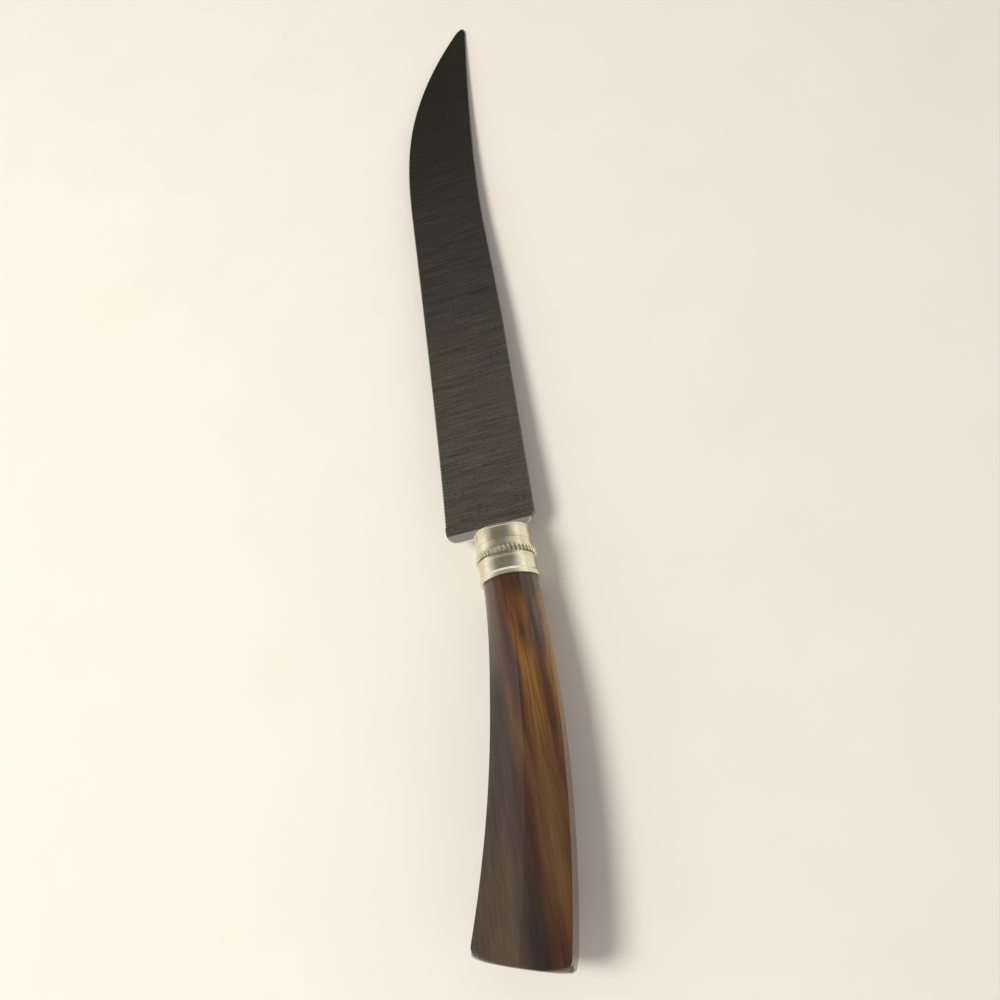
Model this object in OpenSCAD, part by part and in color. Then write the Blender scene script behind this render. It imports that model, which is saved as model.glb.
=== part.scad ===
// Carving knife: fine-toothed blade with a hidden tang, a ferrule with a gadroon ring, and a
// swept six-sided handle. Each piece is modelled along the ferrule's axis, with +X to the tip
// and +Y to the cutting edge, and then laid on its side on a table at z = 0.

/* [Blade] */
// Where the spine starts to run down to the tip, from the handle junction
blade_reach = 240; // [180:1:300]
// Height of the cutting edge below the axis at the heel
heel_edge = 19.2; // [14:0.1:26]
// Height of the spine above the axis at the heel
heel_spine = 12; // [8:0.1:16]
// Height of the spine above the axis at the tip
tip_spine = 22.8; // [16:0.1:30]
// Height of the cutting edge below the axis where the belly begins to rise
belly_edge = 12.3; // [10:0.1:16]
// Length of the upswept belly in front of the straight edge
belly_len = 85; // [50:1:100]
// Thickness of the spine at the heel
spine_t = 2.4; // [1.6:0.1:3.4]
// Thickness along the ground cutting edge
edge_t = 0.5; // [0.3:0.05:0.9]
// Thickness of the tip
tip_t = 0.8; // [0.5:0.05:1.4]
// Radius of the heel corner at the edge
heel_r = 4; // [2:0.5:6]
// Chamfer of the heel corner at the spine
heel_cut = 4.5; // [2:0.5:7]
// Length of the bevel on each face of the heel
heel_bevel = 2.6; // [1:0.1:4]

/* [Teeth] */
// Distance from tooth to tooth
tooth_pitch = 1.2; // [0.9:0.1:2.5]
// Depth of a tooth
tooth_depth = 0.45; // [0.2:0.05:0.8]
// Length of edge left plain at the tip
plain_tip = 42; // [30:1:90]

/* [Tang] */
// Width of the tang at the heel
tang_w = 9; // [6:0.5:9]
// Width of the tang at its end
tang_end_w = 4; // [3:0.5:5]
// Depth of the tang in the handle
tang_len = 52; // [35:1:53]

/* [Ferrule] */
// Length of the ferrule
ferrule_len = 17.5; // [16:0.1:24]
// Radius of the bead at the handle junction
bead_r = 9.85; // [9.4:0.05:11]
// Radius of the bands
band_r = 9.1; // [8.9:0.05:9.4]
// Thickness of the pressed wall
wall = 0.5; // [0.35:0.05:0.8]
// Number of lobes in the gadroon ring
lobes = 42; // [24:1:48]
// Height of a lobe above the band
lobe_h = 0.78; // [0.5:0.02:0.9]
// Length of the gadroon ring
gadroon_len = 2.3; // [1.6:0.1:3]
// Lean of each lobe from the ferrule's axis
lobe_lean = 22; // [0:1:35]
// Thickness of the front disc
cap_t = 1; // [0.6:0.1:1.6]

/* [Handle] */
// Length of the handle along its swept centre line
handle_len = 112; // [95:1:130]
// Radius of the sweep towards the cutting edge
sweep_r = 390; // [300:5:900]
// Width of the handle at the ferrule
front_w = 17.8; // [17.6:0.1:18.2]
// Width of the handle at the butt
butt_w = 29.4; // [22:0.1:34]
// Thickness of the handle at the ferrule
front_t = 17.8; // [17.6:0.1:18.2]
// Thickness of the handle at the butt
butt_t = 15.4; // [13:0.1:18]
// Height of the side facet at the butt
facet_h = 11; // [6:0.1:12]
// Length over which the round neck turns six-sided
blend_len = 38; // [20:1:60]
// Radius of the rounding at the butt
bull_r = 4; // [2:0.1:6]
// Depth of the bore for the tang
bore_len = 55; // [54:1:60]
// Radius of the bore for the tang
bore_r = 5; // [4.9:0.1:5.6]
// Length of the neck inside the ferrule
neck_len = 9; // [5:0.5:12]

/* [Fit] */
// Gap between pieces that are pushed or cemented together
fit = 0.04; // [0.02:0.01:0.1]

/* [Hidden] */
$fn = 72;
half = 0.5;
heel_x = ferrule_len;
belly_x = blade_reach - belly_len;
inner_r = band_r - wall;
cap_x = ferrule_len - cap_t;
slack = 1;
big = 2 * blade_reach;

// Plan of the blade, as fractions of its straight and upswept stretches
function ease(t) = t * t * (3 - 2 * t);
function straight_edge(x) = heel_edge + (belly_edge - heel_edge) * pow((x - heel_x) / (belly_x - heel_x), 0.75);
function belly_drop(t) = 0.13 * t + 0.87 * pow(t, 2.6);
function edge_y(x) = x < belly_x ? straight_edge(x)
    : belly_edge - (belly_edge + tip_spine - 2.5) * belly_drop((x - belly_x) / belly_len);
function spine_y(x) = -heel_spine - 2.4 * min(1, (x - heel_x) / (belly_x - heel_x) * 1.6)
    - (tip_spine - heel_spine - 2.4) * pow(max(0, (x - belly_x + 10) / (belly_len + 10)), 1.5);

// Teeth follow the edge at one pitch and fade before the plain tip
teeth_from = heel_x + heel_r + 2;
teeth_to = blade_reach - plain_tip;
tooth_count = floor((teeth_to - teeth_from) / tooth_pitch);
function fade(i) = min(1, (tooth_count - i) / 30);
teeth = [for (i = [0 : tooth_count - 1], k = [0, 1])
    let (x = teeth_from + (i + half * k) * tooth_pitch)
    [x, edge_y(x) - k * tooth_depth * fade(i)]];
belly_steps = 22;
belly = [for (i = [0 : belly_steps])
    let (x = teeth_to + (blade_reach - 1 - teeth_to) * sin(90 * i / belly_steps))
    [x, edge_y(x)]];
heel_corner = [for (a = [180 : -15 : 90])
    [heel_x + heel_r + heel_r * cos(a), edge_y(teeth_from) - heel_r + heel_r * sin(a)]];
spine_steps = 14;
spine = [for (i = [spine_steps : -1 : 0])
    let (x = heel_x + heel_cut + (blade_reach - 2 - heel_x - heel_cut) * i / spine_steps)
    [x, spine_y(x)]];
tip_nose = [[blade_reach, -tip_spine + 1.6], [blade_reach - 0.5, -tip_spine + 0.4]];
heel_chamfer = [[heel_x, -heel_spine + heel_cut * 0.85]];
blade_plan = concat(heel_corner, teeth, belly, tip_nose, spine, heel_chamfer);

// A ground face is a plane through three points, each at half of a named thickness
function slopes(p, q, r) = let (n = cross(q - p, r - p)) [-n[0] / n[2], -n[1] / n[2]];
module below(p, q, r) {
    s = slopes(p, q, r);
    turn_y = -atan(s[0]);
    turn_x = atan(s[1] * cos(turn_y));
    translate(p) rotate([turn_x, turn_y, 0]) translate([-big, -big, -big])
        cube([2 * big, 2 * big, big]);
}
main_face = [[heel_x, -heel_spine, spine_t / 2], [heel_x, heel_edge, edge_t / 2], [belly_x + belly_len / 2,
    edge_y(belly_x + belly_len / 2), edge_t / 2]];
tip_face = [[belly_x, spine_y(belly_x), spine_t * 0.42], [blade_reach, -tip_spine, tip_t / 2],
    [blade_reach - 15, edge_y(blade_reach - 15), edge_t / 2]];
heel_face = [[heel_x, 0, spine_t * 0.24], [heel_x + heel_bevel, 0, spine_t / 2],
    [heel_x, 1, spine_t * 0.24]];
module both_faces(face) {
    intersection() {
        below(face[0], face[1], face[2]);
        mirror([0, 0, 1]) below(face[0], face[1], face[2]);
    }
}

// The handle is a loft of blended sections along the swept centre line
body_steps = 24;
bull_steps = 7;
side_steps = 5;
stations = body_steps + bull_steps + 1;
function station_s(i) = i <= body_steps ? (handle_len - bull_r) * i / body_steps
    : handle_len - bull_r + bull_r * sin(90 * (i - body_steps) / bull_steps);
function half_w(s) = (front_w + (butt_w - front_w) * pow(s / handle_len, 1.2)) / 2;
function half_t(s) = (front_t + (butt_t - front_t) * s / handle_len) / 2;
function half_facet(s) = facet_h / 2 * (0.4 + 0.6 * pow(s / handle_len, 0.6));
function hex_corners(s) = [[0, half_t(s)], [half_w(s), half_facet(s)], [half_w(s), -half_facet(s)],
    [0, -half_t(s)], [-half_w(s), -half_facet(s)], [-half_w(s), half_facet(s)]];
function oval(s, c) = let (a = atan2(c[1] / half_t(s), c[0] / half_w(s)))
    [half_w(s) * cos(a), half_t(s) * sin(a)];
function norm_of(s, c) = norm([c[0] / half_w(s), c[1] / half_t(s)]);
// At the butt the corners are turned off first, so each facet ends in an arc
function nose_limit(s) = let (q = max(0, (s - handle_len + bull_r) / bull_r))
    0.78 + 0.44 * sqrt(max(0, 1 - q * q));
function section(s) = let (k = ease(min(1, s / blend_len)), h = hex_corners(s))
    [for (side = [0 : 5], j = [0 : side_steps - 1])
        let (c = h[side] + (h[(side + 1) % 6] - h[side]) * j / side_steps,
            m = oval(s, c) * (1 - k) + c * k)
        m * min(1, nose_limit(s) / norm_of(s, m))];
function ring_at(i) = let (s = station_s(i), a = s / sweep_r * 180 / PI)
    [for (c = section(s)) [-sweep_r * sin(a) + c[0] * sin(a),
        sweep_r * (1 - cos(a)) + c[0] * cos(a), c[1]]];
// Triangles between rings of n points, wound to face outwards, and a cap at each end
function skin(rings, n) = concat(
    [for (i = [0 : rings - 2], j = [0 : n - 1], t = [0, 1])
        let (a = i * n + j, b = i * n + (j + 1) % n)
        t == 0 ? [b + n, b, a] : [a + n, b + n, a]],
    [[for (j = [0 : n - 1]) j]],
    [[for (j = [n - 1 : -1 : 0]) (rings - 1) * n + j]]);
section_points = 6 * side_steps;
// The table pose: down on the gadroon ring and the front of the blade
gadroon_x = 8.5;
lobe_r = band_r + lobe_h;
pitch = atan((lobe_r - tip_t / 2) / (blade_reach - gadroon_x));
lift = gadroon_x * sin(pitch) + lobe_r * cos(pitch);
function laid(p) = [p[0] * cos(pitch) + p[2] * sin(pitch), p[1]];
handle_laid = [for (i = [stations - 8 : stations - 1], p = ring_at(i)) laid(p)];
back_x = min([for (p = handle_laid) p[0]]);
side_y = max([for (p = handle_laid) p[1]]);
centre_x = (back_x + blade_reach * cos(pitch)) / 2;
centre_y = (side_y + min([for (p = blade_plan) p[1]])) / 2;
module lay_down() {
    translate([-centre_x, -centre_y, lift]) rotate([0, pitch, 0]) children();
}

module handle_form() {
    polyhedron(points = [for (i = [0 : stations - 1], p = ring_at(i)) p],
        faces = skin(stations, section_points), convexity = 4);
}

// The gadroon ring: leaning round rods that are half sunk in the pressed wall
lobe_rod_r = min(0.43 * 2 * PI * band_r / lobes * cos(lobe_lean), (lobe_h + wall) / 2 - fit);
module gadroon_ring() {
    for (i = [0 : lobes - 1]) rotate([360 * i / lobes, 0, 0])
        translate([gadroon_x, 0, band_r + lobe_h - lobe_rod_r]) rotate([0, 0, lobe_lean]) along_x()
            cylinder(r = lobe_rod_r, h = gadroon_len * 0.85, center = true, $fn = 24);
}

module along_x() {
    rotate([0, 90, 0]) children();
}

module tang() {
    half_tang = tang_w / 2;
    half_end = tang_end_w / 2;
    linear_extrude(height = spine_t, center = true)
        polygon([[heel_x + slack, half_tang], [0, half_tang - slack], [-tang_len, half_end],
            [-tang_len, -half_end], [0, -half_tang + slack], [heel_x + slack, -half_tang]]);
}

module blade() {
    color("dimgray") lay_down() union() {
        intersection() {
            linear_extrude(height = spine_t * 2, center = true) polygon(blade_plan);
            both_faces(main_face);
            both_faces(tip_face);
            both_faces(heel_face);
        }
        tang();
    }
}

module ferrule_profile() {
    groove = 0.2;
    polygon([[inner_r, fit], [bead_r - 0.2, fit], [bead_r, 0.5], [bead_r - 0.25, 0.9], [bead_r, 1.3],
        [bead_r - 0.25, 1.75], [band_r + 0.35, 2.1], [band_r + 0.3, 5.9], [band_r + 0.45, 6.1],
        [band_r + 0.3, 6.3], [band_r + 0.45, 6.5], [band_r + 0.45, 7.1], [band_r - 0.05, 7.3],
        [band_r - 0.05, 9.7], [band_r + 0.25, 10.3], [band_r, 12.4], [band_r - groove, 12.5],
        [band_r, 12.6], [band_r, ferrule_len - 1.1], [band_r + 0.3, ferrule_len - 0.9],
        [band_r + 0.3, ferrule_len - 0.3], [band_r, ferrule_len - fit], [inner_r, ferrule_len - fit]]);
}

module ferrule() {
    color("silver") lay_down() union() {
        along_x() rotate_extrude() ferrule_profile();
        gadroon_ring();
    }
}

module ferrule_cap() {
    color("silver") lay_down() difference() {
        translate([cap_x, 0, 0]) along_x() cylinder(r = inner_r - fit, h = cap_t - fit);
        cube([3 * ferrule_len, tang_w + 2 * fit, spine_t + 2 * fit], center = true);
    }
}

module handle() {
    color("saddlebrown") lay_down() difference() {
        union() {
            handle_form();
            translate([-slack, 0, 0]) along_x() cylinder(r = inner_r - fit, h = neck_len + slack);
        }
        translate([-bore_len, 0, 0]) along_x() cylinder(r = bore_r, h = bore_len + neck_len + slack);
    }
}

module cement() {
    color("tan") lay_down() difference() {
        union() {
            translate([-bore_len + fit, 0, 0]) along_x()
                cylinder(r = bore_r - fit, h = bore_len + neck_len);
            translate([neck_len + fit, 0, 0]) along_x()
                cylinder(r = inner_r - fit, h = cap_x - neck_len - 2 * fit);
        }
        tang_space();
    }
}

// The tang's own outline with the fit added all round
module tang_space() {
    half_tang = tang_w / 2 + fit;
    half_end = tang_end_w / 2 + fit;
    linear_extrude(height = spine_t + 2 * fit, center = true)
        polygon([[heel_x + slack, half_tang], [0, half_tang - slack], [-tang_len - fit, half_end],
            [-tang_len - fit, -half_end], [0, -half_tang + slack], [heel_x + slack, -half_tang]]);
}

blade();
ferrule();
ferrule_cap();
handle();
cement();
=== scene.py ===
"""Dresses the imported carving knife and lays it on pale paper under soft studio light."""

import logging
import math
from dataclasses import dataclass
from enum import Enum
from typing import Any

import bmesh
import bpy
from mathutils import Matrix, Vector


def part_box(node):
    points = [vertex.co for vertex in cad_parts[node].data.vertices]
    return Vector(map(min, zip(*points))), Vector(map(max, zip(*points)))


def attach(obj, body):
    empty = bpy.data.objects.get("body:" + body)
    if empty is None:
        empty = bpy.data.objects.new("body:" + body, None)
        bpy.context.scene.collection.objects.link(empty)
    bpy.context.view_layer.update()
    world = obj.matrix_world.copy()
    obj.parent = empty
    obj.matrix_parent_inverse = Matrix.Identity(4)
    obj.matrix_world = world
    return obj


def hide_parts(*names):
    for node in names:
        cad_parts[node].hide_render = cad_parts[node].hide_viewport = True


LOG = logging.getLogger("carving_knife")
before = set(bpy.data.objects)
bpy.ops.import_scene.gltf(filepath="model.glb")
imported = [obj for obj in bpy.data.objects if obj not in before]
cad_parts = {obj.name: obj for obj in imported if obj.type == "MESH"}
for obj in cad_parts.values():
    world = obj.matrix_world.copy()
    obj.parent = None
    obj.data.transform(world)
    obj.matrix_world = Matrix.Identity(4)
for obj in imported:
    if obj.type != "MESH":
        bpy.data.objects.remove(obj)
MM = 0.001
WHITE = "#ffffff"

Pair = tuple[float, float]
Triple = tuple[float, float, float]
Stops = tuple[tuple[float, str], ...]

# Settings of the nodes that are used again and again
SMOOTH_STEP = {"interpolation_type": "SMOOTHSTEP"}
PRODUCT = {"operation": "MULTIPLY"}
COLOUR_MIX = {"data_type": "RGBA", "blend_type": "MIX"}
COLOUR_PRODUCT = {"data_type": "RGBA", "blend_type": "MULTIPLY"}

# Numbers of the colour mixing node's inputs and of its output
MIX_AMOUNT = 0
MIX_FIRST = 6
MIX_SECOND = 7
MIX_RESULT = 2


class Shading(Enum):
    """How the faces of a dressed piece meet.

    Each value holds the angle in degrees from which an edge is sharp, and the width in
    millimetres that wear has rounded off such an edge.
    """

    CRISP = (9.0, 0.0)
    TURNED = (14.5, 0.0)
    FACETED = (14.6, 0.35)

    @property
    def sharp_angle(self) -> float:
        """Gives the angle in radians from which an edge is sharp."""
        return math.radians(self.value[0])

    @property
    def worn_width(self) -> float:
        """Gives the width in metres that wear has rounded off a sharp edge."""
        return self.value[1] * MM


def colour(code: str) -> tuple[float, float, float, float]:
    """Turns an sRGB hex code into a linear colour.

    Args:
        code: Six hex digits after a hash sign.

    Returns:
        Linear red, green, blue and an alpha of one.
    """
    parts = [int(code[i : i + 2], 16) / 255 for i in (1, 3, 5)]
    linear = [p / 12.92 if p <= 0.04045 else ((p + 0.055) / 1.055) ** 2.4 for p in parts]
    return (linear[0], linear[1], linear[2], 1.0)


def node(
    tree: Any,
    kind: str,
    settings: dict[str, Any] | None = None,
    values: dict[int | str, Any] | None = None,
    links: dict[int | str, Any] | None = None,
    stops: Stops = (),
) -> Any:
    """Adds one shader node with its settings and links.

    Args:
        tree: The node tree to add to.
        kind: The node's type name.
        settings: Values of the node's own attributes.
        values: Values of its inputs, each under the input's name or number.
        links: Sockets that feed its inputs, each under the input's name or number.
        stops: Places from 0 to 1 with their sRGB codes, where the node is a colour ramp.

    Returns:
        The new node.
    """
    made = tree.nodes.new(kind)
    for name, setting in (settings or {}).items():
        setattr(made, name, setting)
    for key, value in (values or {}).items():
        made.inputs[key].default_value = value
    for key, source in (links or {}).items():
        tree.links.new(source, made.inputs[key])
    if stops:
        bar = made.color_ramp.elements
        while len(bar) < len(stops):
            bar.new(0.5)
        for stop, (at, code) in zip(bar, stops):
            stop.position = at
            stop.color = colour(code)
    return made


@dataclass(frozen=True)
class Finish:
    """A surface finish that builds its own procedural material."""

    name: str

    def start(self, metallic: float, roughness: float) -> tuple[Any, Any, Any, Any]:
        """Makes a material with a Principled surface.

        Args:
            metallic: The shader's metallic value.
            roughness: The shader's roughness, until a pattern is linked to it.

        Returns:
            The material, its tree, the shader node and the Object coordinate socket.
        """
        material = bpy.data.materials.new(self.name)
        material.use_nodes = True
        tree = material.node_tree
        shader = tree.nodes["Principled BSDF"]
        shader.inputs["Metallic"].default_value = metallic
        shader.inputs["Roughness"].default_value = roughness
        place = node(tree, "ShaderNodeTexCoord").outputs["Object"]
        return material, tree, shader, place

    def grain(self, tree: Any, place: Any, size_mm: Triple, detail: float) -> Any:
        """Adds a noise pattern whose grain has the given size along each axis.

        Args:
            tree: The node tree.
            place: The coordinate socket.
            size_mm: Grain size along X, Y and Z in millimetres.
            detail: The noise's detail.

        Returns:
            The pattern's value socket.
        """
        scale = tuple(1 / (size * MM) for size in size_mm)
        mapped = node(tree, "ShaderNodeMapping", values={"Scale": scale}, links={"Vector": place})
        noise = node(tree, "ShaderNodeTexNoise", values={"Scale": 1.0, "Detail": detail},
                     links={"Vector": mapped.outputs["Vector"]})
        return noise.outputs["Fac"]

    def texture(self, tree: Any, shader: Any, pattern: Any, gloss: Pair, relief_mm: float,
                strength: float) -> None:
        """Lets one pattern vary the gloss and raise the surface.

        Args:
            tree: The node tree.
            shader: The Principled node.
            pattern: The pattern's value socket.
            gloss: Roughness where the pattern is 0 and where it is 1.
            relief_mm: Depth of the relief in millimetres.
            strength: Strength of the relief.
        """
        rough = node(tree, "ShaderNodeMapRange", values={"To Min": gloss[0], "To Max": gloss[1]},
                     links={"Value": pattern})
        relief = node(tree, "ShaderNodeBump", values={"Distance": relief_mm * MM, "Strength": strength},
                      links={"Height": pattern})
        tree.links.new(rough.outputs["Result"], shader.inputs["Roughness"])
        tree.links.new(relief.outputs["Normal"], shader.inputs["Normal"])


@dataclass(frozen=True)
class GroundStainless(Finish):
    """Stainless steel ground crosswise: cross lines, dark specks, and painted reflection darker to the
    tip.
    """

    heel_x: float = 0.0
    metallic: float = 0.95
    roughness: float = 0.34
    # Over this length from the heel towards the tip the steel turns darker, a painted reflection of the
    # dark room
    reflection_fade_mm: float = 215.0
    painted_reflection_tones: Stops = ((0.0, "#a8a498"), (0.4, "#7a766c"), (1.0, "#2f2b25"))
    # Wheel marks are 0.02 mm wide in life and drawn 0.3 mm wide here so that they show
    mark_mm: Triple = (0.3, 14.0, 14.0)
    mark_detail: float = 3.0
    mark_tones: Stops = ((0.3, "#b4b2ac"), (0.7, WHITE))
    mark_gloss: Pair = (0.26, 0.46)
    mark_relief_mm: float = 0.01
    mark_strength: float = 0.25
    speck_mm: Triple = (0.5, 0.5, 0.5)
    speck_detail: float = 2.0
    speck_tones: Stops = ((0.28, "#8a8880"), (0.42, WHITE))
    # Between these places across the blade its tint turns green towards the spine
    spine_y_mm: Pair = (-10.0, -22.0)
    spine_tones: Stops = ((0.0, "#4a4842"), (1.0, "#4b4f42"))
    spine_share: float = 0.25
    # Between these distances from the heel the dark face turns to the bevelled edge's painted bright
    # reflection
    bevel_reflection_mm: Pair = (2.7, 2.4)
    painted_bevel_reflection_tones: Stops = ((0.0, "#d9d5ca"), (1.0, "#e6e2d8"))

    def build(self) -> bpy.types.Material:
        """Builds the blade's material.

        Returns:
            The material.
        """
        material, tree, shader, place = self.start(self.metallic, self.roughness)
        axes = node(tree, "ShaderNodeSeparateXYZ", links={"Vector": place}).outputs
        # Painted reflection: the base colour darkens from the heel towards the tip
        reflection_fade = node(tree, "ShaderNodeMapRange", SMOOTH_STEP,
                     {"From Min": self.heel_x, "From Max": self.heel_x + self.reflection_fade_mm * MM},
                     {"Value": axes["X"]})
        steel = node(tree, "ShaderNodeValToRGB", links={"Fac": reflection_fade.outputs["Result"]},
                     stops=self.painted_reflection_tones)
        marks = self.grain(tree, place, self.mark_mm, self.mark_detail)
        lines = node(tree, "ShaderNodeValToRGB", links={"Fac": marks}, stops=self.mark_tones)
        specks = self.grain(tree, place, self.speck_mm, self.speck_detail)
        spots = node(tree, "ShaderNodeValToRGB", links={"Fac": specks}, stops=self.speck_tones)
        lined = node(tree, "ShaderNodeMix", COLOUR_PRODUCT, {MIX_AMOUNT: 1.0},
                     {MIX_FIRST: steel.outputs["Color"], MIX_SECOND: lines.outputs["Color"]})
        toned = node(tree, "ShaderNodeMix", COLOUR_PRODUCT, {MIX_AMOUNT: 1.0},
                     {MIX_FIRST: lined.outputs[MIX_RESULT], MIX_SECOND: spots.outputs["Color"]})
        spine = node(tree, "ShaderNodeMapRange", SMOOTH_STEP,
                     {"From Min": self.spine_y_mm[0] * MM, "From Max": self.spine_y_mm[1] * MM},
                     {"Value": axes["Y"]})
        green = node(tree, "ShaderNodeValToRGB", links={"Fac": spine.outputs["Result"]},
                     stops=self.spine_tones)
        tinted = node(tree, "ShaderNodeMix", COLOUR_MIX, {MIX_AMOUNT: self.spine_share},
                      {MIX_FIRST: toned.outputs[MIX_RESULT], MIX_SECOND: green.outputs["Color"]})
        # Painted reflection: the bevelled edge at the heel is coloured pale
        bevel_reflection_mask = node(tree, "ShaderNodeMapRange", SMOOTH_STEP,
                     {"From Min": self.heel_x + self.bevel_reflection_mm[0] * MM,
                      "From Max": self.heel_x + self.bevel_reflection_mm[1] * MM}, {"Value": axes["X"]})
        painted_bevel_reflection = node(tree, "ShaderNodeValToRGB", links={"Fac": bevel_reflection_mask.outputs["Result"]},
                    stops=self.painted_bevel_reflection_tones)
        ground = node(tree, "ShaderNodeMix", COLOUR_MIX, links={
            MIX_AMOUNT: bevel_reflection_mask.outputs["Result"],
            MIX_FIRST: tinted.outputs[MIX_RESULT],
            MIX_SECOND: painted_bevel_reflection.outputs["Color"],
        })
        tree.links.new(ground.outputs[MIX_RESULT], shader.inputs["Base Color"])
        self.texture(tree, shader, marks, self.mark_gloss, self.mark_relief_mm, self.mark_strength)
        return material


@dataclass(frozen=True)
class PolishedNickelSilver(Finish):
    """Pressed and buffed nickel silver: warm cream shine with soft buffing marks and light tarnish."""

    metallic: float = 1.0
    roughness: float = 0.16
    tarnish_mm: Triple = (5.0, 5.0, 5.0)
    tarnish_detail: float = 4.0
    tarnish_tones: Stops = ((0.3, "#d6caa9"), (0.6, "#f0e9d6"))
    buff_mm: Triple = (0.4, 2.5, 2.5)
    buff_detail: float = 3.0
    buff_gloss: Pair = (0.08, 0.28)
    buff_relief_mm: float = 0.01
    buff_strength: float = 0.15

    def build(self) -> bpy.types.Material:
        """Builds the ferrule's material.

        Returns:
            The material.
        """
        material, tree, shader, place = self.start(self.metallic, self.roughness)
        tarnish = self.grain(tree, place, self.tarnish_mm, self.tarnish_detail)
        silver = node(tree, "ShaderNodeValToRGB", links={"Fac": tarnish}, stops=self.tarnish_tones)
        tree.links.new(silver.outputs["Color"], shader.inputs["Base Color"])
        marks = self.grain(tree, place, self.buff_mm, self.buff_detail)
        self.texture(tree, shader, marks, self.buff_gloss, self.buff_relief_mm, self.buff_strength)
        return material


@dataclass(frozen=True)
class CastHornResin(Finish):
    """Cast resin in imitation of horn, buffed: long brown and amber streaks under a deep gloss."""

    joint_x: float = 0.0
    roughness: float = 0.16
    ior: float = 1.5
    coat: float = 0.5
    coat_roughness: float = 0.06
    streak_mm: Triple = (70.0, 8.0, 8.0)
    streak_detail: float = 3.0
    brown_tones: Stops = ((0.30, "#24160f"), (0.46, "#46291b"), (0.56, "#5b3c22"), (0.70, "#6a5130"))
    grey_tones: Stops = ((0.30, "#332824"), (0.50, "#4a3b35"), (0.72, "#5c4c34"))
    # Between these places across the handle brown turns to grey, towards the cutting edge
    grey_y_mm: Pair = (1.0, 7.0)
    thread_mm: Triple = (16.0, 0.7, 1.0)
    thread_detail: float = 4.0
    thread_tones: Stops = ((0.35, "#e6e1dc"), (0.62, WHITE))
    amber_tones: Stops = ((0.30, "#7d4f1c"), (0.55, "#a0702f"), (0.75, "#5f4524"))
    # There is no amber at a pair's first distance behind the ferrule, and full amber at its second
    amber_back_mm: Pair = (64.0, 20.0)
    amber_front_mm: Pair = (2.0, 12.0)
    # It comes in between these places across the handle, and these values of the streaks
    amber_y_mm: Pair = (-1.0, -5.0)
    amber_streaks: Pair = (0.36, 0.56)
    wear_mm: Triple = (1.2, 0.8, 0.8)
    wear_detail: float = 5.0
    wear_gloss: Pair = (0.10, 0.30)
    wear_relief_mm: float = 0.03
    wear_strength: float = 0.2

    def amber_amount(self, tree: Any, axes: Any, streaks: Any) -> Any:
        """Adds the nodes that say how much amber shows at each place.

        Args:
            tree: The node tree.
            axes: The sockets of the three coordinates.
            streaks: The value socket of the streaks.

        Returns:
            The amount's socket.
        """
        back = node(tree, "ShaderNodeMapRange", SMOOTH_STEP,
                    {"From Min": self.joint_x - self.amber_back_mm[0] * MM,
                     "From Max": self.joint_x - self.amber_back_mm[1] * MM}, {"Value": axes["X"]})
        front = node(tree, "ShaderNodeMapRange", SMOOTH_STEP,
                     {"From Min": self.joint_x - self.amber_front_mm[0] * MM,
                      "From Max": self.joint_x - self.amber_front_mm[1] * MM}, {"Value": axes["X"]})
        side = node(tree, "ShaderNodeMapRange", SMOOTH_STEP,
                    {"From Min": self.amber_y_mm[0] * MM, "From Max": self.amber_y_mm[1] * MM},
                    {"Value": axes["Y"]})
        patch = node(tree, "ShaderNodeMapRange", SMOOTH_STEP,
                     {"From Min": self.amber_streaks[0], "From Max": self.amber_streaks[1]},
                     {"Value": streaks})
        amount = back.outputs["Result"]
        for limit in (front, side, patch):
            product = node(tree, "ShaderNodeMath", PRODUCT, links={0: amount, 1: limit.outputs["Result"]})
            amount = product.outputs["Value"]
        return amount

    def build(self) -> bpy.types.Material:
        """Builds the handle's material.

        Returns:
            The material.
        """
        material, tree, shader, place = self.start(0.0, self.roughness)
        shader.inputs["IOR"].default_value = self.ior
        shader.inputs["Coat Weight"].default_value = self.coat
        shader.inputs["Coat Roughness"].default_value = self.coat_roughness
        axes = node(tree, "ShaderNodeSeparateXYZ", links={"Vector": place}).outputs
        streaks = self.grain(tree, place, self.streak_mm, self.streak_detail)
        threads = self.grain(tree, place, self.thread_mm, self.thread_detail)
        brown = node(tree, "ShaderNodeValToRGB", links={"Fac": streaks}, stops=self.brown_tones)
        grey = node(tree, "ShaderNodeValToRGB", links={"Fac": streaks}, stops=self.grey_tones)
        amber = node(tree, "ShaderNodeValToRGB", links={"Fac": threads}, stops=self.amber_tones)
        lines = node(tree, "ShaderNodeValToRGB", links={"Fac": threads}, stops=self.thread_tones)
        edge_side = node(tree, "ShaderNodeMapRange", SMOOTH_STEP,
                         {"From Min": self.grey_y_mm[0] * MM, "From Max": self.grey_y_mm[1] * MM},
                         {"Value": axes["Y"]})
        body = node(tree, "ShaderNodeMix", COLOUR_MIX, links={
            MIX_AMOUNT: edge_side.outputs["Result"],
            MIX_FIRST: brown.outputs["Color"],
            MIX_SECOND: grey.outputs["Color"],
        })
        warm = node(tree, "ShaderNodeMix", COLOUR_MIX, links={
            MIX_AMOUNT: self.amber_amount(tree, axes, streaks),
            MIX_FIRST: body.outputs[MIX_RESULT],
            MIX_SECOND: amber.outputs["Color"],
        })
        resin = node(tree, "ShaderNodeMix", COLOUR_PRODUCT, {MIX_AMOUNT: 1.0},
                     {MIX_FIRST: warm.outputs[MIX_RESULT], MIX_SECOND: lines.outputs["Color"]})
        tree.links.new(resin.outputs[MIX_RESULT], shader.inputs["Base Color"])
        wear = self.grain(tree, place, self.wear_mm, self.wear_detail)
        self.texture(tree, shader, wear, self.wear_gloss, self.wear_relief_mm, self.wear_strength)
        return material


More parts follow.
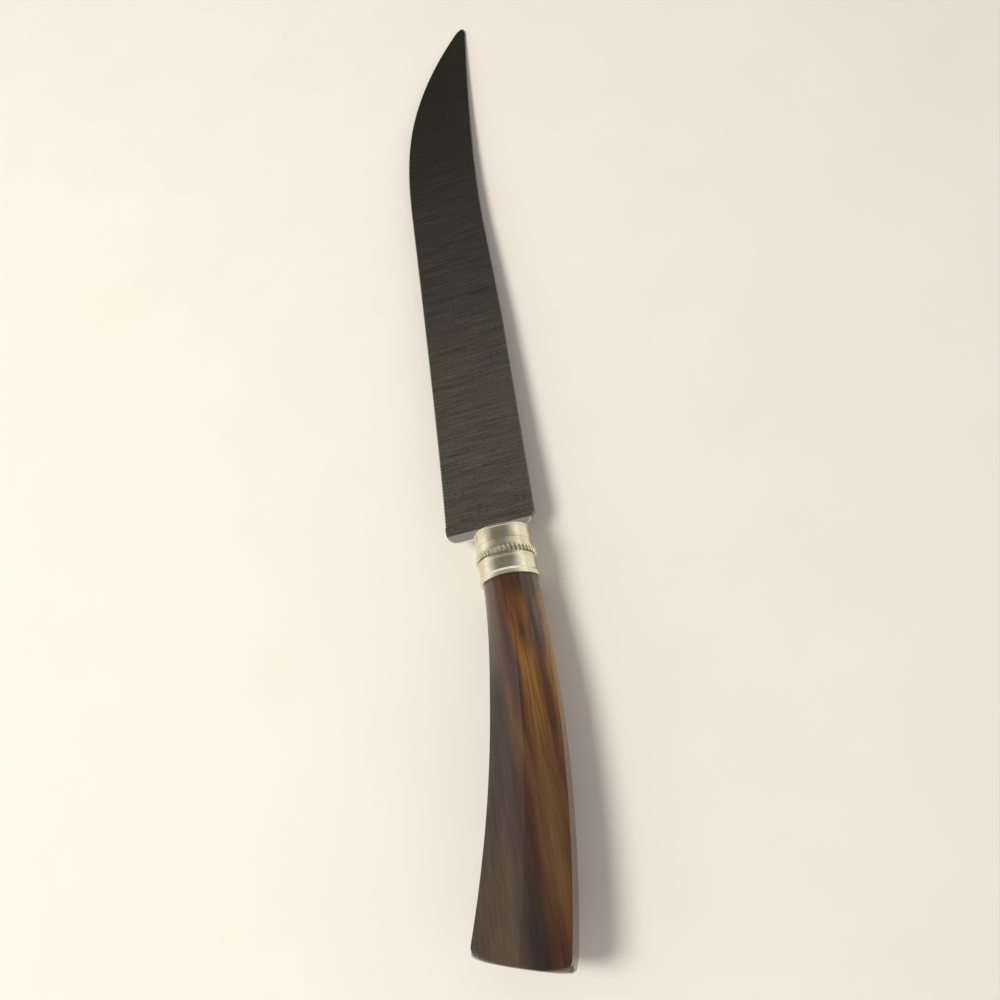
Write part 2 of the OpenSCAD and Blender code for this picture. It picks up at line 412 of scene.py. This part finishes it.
@dataclass(frozen=True)
class SetCement(Finish):
    """Set cutler's cement, poured round the tang: dull tan with a sandy grain."""

    roughness: float = 0.85
    grit_mm: Triple = (0.6, 0.6, 0.6)
    grit_detail: float = 4.0
    grit_tones: Stops = ((0.3, "#5e4a33"), (0.7, "#8a7152"))
    grit_relief_mm: float = 0.1
    grit_strength: float = 0.5

    def build(self) -> bpy.types.Material:
        """Builds the cement's material.

        Returns:
            The material.
        """
        material, tree, shader, place = self.start(0.0, self.roughness)
        grit = self.grain(tree, place, self.grit_mm, self.grit_detail)
        tan = node(tree, "ShaderNodeValToRGB", links={"Fac": grit}, stops=self.grit_tones)
        relief = node(tree, "ShaderNodeBump", links={"Height": grit},
                      values={"Distance": self.grit_relief_mm * MM, "Strength": self.grit_strength})
        tree.links.new(tan.outputs["Color"], shader.inputs["Base Color"])
        tree.links.new(relief.outputs["Normal"], shader.inputs["Normal"])
        return material


@dataclass(frozen=True)
class LaidPaper(Finish):
    """Uncoated paper: warm cream, nearly flat."""

    roughness: float = 0.9
    fibre_mm: Triple = (40.0, 40.0, 40.0)
    fibre_detail: float = 3.0
    fibre_tones: Stops = ((0.2, "#f2ede4"), (0.8, "#f5f1e9"))

    def build(self) -> bpy.types.Material:
        """Builds the floor's material.

        Returns:
            The material.
        """
        material, tree, shader, place = self.start(0.0, self.roughness)
        fibre = self.grain(tree, place, self.fibre_mm, self.fibre_detail)
        cream = node(tree, "ShaderNodeValToRGB", links={"Fac": fibre}, stops=self.fibre_tones)
        tree.links.new(cream.outputs["Color"], shader.inputs["Base Color"])
        return material


@dataclass
class DressedPiece:
    """A piece whose CAD shape is right and that gets a smooth skin and a finish."""

    node_name: str
    slot_name: str
    material: bpy.types.Material
    shading: Shading
    weld_mm: float = 0.002
    sliver_mm: float = 0.001
    worn_segments: int = 2

    def skin(self) -> bpy.types.Mesh:
        """Copies the CAD mesh, merges its triangles and marks its sharp edges.

        Returns:
            The merged mesh, smooth between its sharp edges and with its finish.
        """
        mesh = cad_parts[self.node_name].data.copy()
        mesh.name = f"{self.node_name}_skin"
        form = bmesh.new()
        form.from_mesh(mesh)
        bmesh.ops.remove_doubles(form, verts=form.verts, dist=self.weld_mm * MM)
        bmesh.ops.dissolve_degenerate(form, edges=form.edges, dist=self.sliver_mm * MM)
        for edge in form.edges:
            closed = len(edge.link_faces) == 2
            edge.smooth = closed and edge.calc_face_angle(math.pi) < self.shading.sharp_angle
        for face in form.faces:
            face.smooth = True
            face.material_index = 0
        form.to_mesh(mesh)
        form.free()
        if mesh.has_custom_normals:
            mesh.attributes.remove(mesh.attributes["custom_normal"])
        mesh.materials.clear()
        mesh.materials.append(self.material)
        return mesh

    def wear_edges(self, piece: bpy.types.Object) -> None:
        """Rounds the sharp edges of a piece, as wear has done.

        Args:
            piece: The piece to round.
        """
        worn = piece.modifiers.new("worn_edge", "BEVEL")
        worn.width = self.shading.worn_width
        worn.segments = self.worn_segments
        worn.limit_method = "ANGLE"
        worn.angle_limit = self.shading.sharp_angle

    def build(self) -> bpy.types.Object:
        """Builds the piece, which takes the CAD node's place.

        Returns:
            The dressed piece.
        """
        mesh = self.skin()
        piece = bpy.data.objects.new(f"{self.node_name}_skin", mesh)
        bpy.context.scene.collection.objects.link(piece)
        if self.shading.worn_width:
            self.wear_edges(piece)
        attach(piece, "root")
        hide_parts(self.node_name)
        LOG.info("%s: %d faces", piece.name, len(mesh.polygons))
        return piece


@dataclass
class Studio:
    """Paper, soft light and the camera at the photograph's angle."""

    # Pitch and place of the knife on the table, by which the camera follows the ferrule
    knife_pitch: float = math.radians(2.345)
    knife_shift_mm: Triple = (-62.89, -3.62, 10.22)
    # Place and directions of the camera in the ferrule's own frame
    eye_mm: Triple = (-98.6, -51.8, 291.1)
    ahead: Triple = (0.3963, 0.1565, -0.9047)
    rightward: Triple = (-0.1668, -0.9567, -0.2385)
    lens_mm: float = 34.8
    sensor_mm: float = 36.0
    nearest_m: float = 0.01
    floor_m: float = 6.0
    # The room is pale at the horizon and darker overhead
    room_strength: float = 1.1
    room_tones: Stops = ((0.25, "#f8f5ef"), (0.8, "#7d7a76"))
    lamp_m: float = 0.5
    lamp_watts: float = 9.5
    lamp_tone: str = "#fffaf3"
    lamp_place_m: Triple = (-0.1, 0.6, 1.0)

    def place_camera(self) -> None:
        """Places the camera by its place and directions in the ferrule's own frame."""
        turn = Matrix.Rotation(self.knife_pitch, 3, "Y")
        ahead = (turn @ Vector(self.ahead)).normalized()
        rightward = (turn @ Vector(self.rightward)).normalized()
        upward = rightward.cross(ahead).normalized()
        lens = bpy.data.cameras.new("studio_camera")
        lens.lens = self.lens_mm
        lens.sensor_width = self.sensor_mm
        lens.clip_start = self.nearest_m
        camera = bpy.data.objects.new("studio_camera", lens)
        bpy.context.scene.collection.objects.link(camera)
        pose = Matrix((rightward, upward, -ahead)).transposed().to_4x4()
        pose.translation = (turn @ Vector(self.eye_mm) + Vector(self.knife_shift_mm)) * MM
        camera.matrix_world = pose
        bpy.context.scene.camera = camera

    def lay_floor(self) -> None:
        """Lays the paper that the knife lies on."""
        mesh = bpy.data.meshes.new("paper_floor")
        form = bmesh.new()
        bmesh.ops.create_grid(form, x_segments=1, y_segments=1, size=self.floor_m / 2)
        form.to_mesh(mesh)
        form.free()
        mesh.materials.append(LaidPaper("laid_paper").build())
        floor = bpy.data.objects.new("paper_floor", mesh)
        bpy.context.scene.collection.objects.link(floor)

    def light_room(self) -> None:
        """Lights the knife from all round with a pale room."""
        world = bpy.data.worlds.new("studio_room")
        world.use_nodes = True
        tree = world.node_tree
        way = node(tree, "ShaderNodeTexCoord").outputs["Generated"]
        axes = node(tree, "ShaderNodeSeparateXYZ", links={"Vector": way}).outputs
        room = node(tree, "ShaderNodeValToRGB", links={"Fac": axes["Z"]}, stops=self.room_tones)
        back = tree.nodes["Background"]
        back.inputs["Strength"].default_value = self.room_strength
        tree.links.new(room.outputs["Color"], back.inputs["Color"])
        bpy.context.scene.world = world

    def hang_lamp(self) -> None:
        """Hangs one large soft lamp that casts the shadow and shows in no reflection."""
        lamp = bpy.data.lights.new("window_panel", "AREA")
        lamp.shape = "DISK"
        lamp.size = self.lamp_m
        lamp.energy = self.lamp_watts
        lamp.color = colour(self.lamp_tone)[:3]
        panel = bpy.data.objects.new("window_panel", lamp)
        panel.visible_glossy = False
        panel.location = self.lamp_place_m
        panel.rotation_euler = (-panel.location.normalized()).to_track_quat("-Z", "Y").to_euler()
        bpy.context.scene.collection.objects.link(panel)


def main() -> None:
    """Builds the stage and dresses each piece."""
    logging.basicConfig(level=logging.INFO)
    bpy.context.scene.view_settings.view_transform = "Standard"
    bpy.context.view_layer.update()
    studio = Studio()
    studio.place_camera()
    studio.lay_floor()
    studio.light_room()
    studio.hang_lamp()
    joint_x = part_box("ferrule")[0][0]
    heel_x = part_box("ferrule")[1][0]
    steel = GroundStainless("stainless_steel_ground", heel_x).build()
    silver = PolishedNickelSilver("nickel_silver_buffed").build()
    resin = CastHornResin("cast_horn_resin_buffed", joint_x).build()
    filling = SetCement("set_cutler_cement").build()
    pieces = [
        DressedPiece("blade", "blade_steel", steel, Shading.CRISP),
        DressedPiece("ferrule", "nickel_silver", silver, Shading.TURNED),
        DressedPiece("ferrule_cap", "nickel_silver", silver, Shading.TURNED),
        DressedPiece("handle", "horn_resin", resin, Shading.FACETED),
        DressedPiece("cement", "cutler_cement", filling, Shading.TURNED),
    ]
    for piece in pieces:
        piece.build()


if __name__ == "__main__":
    main()
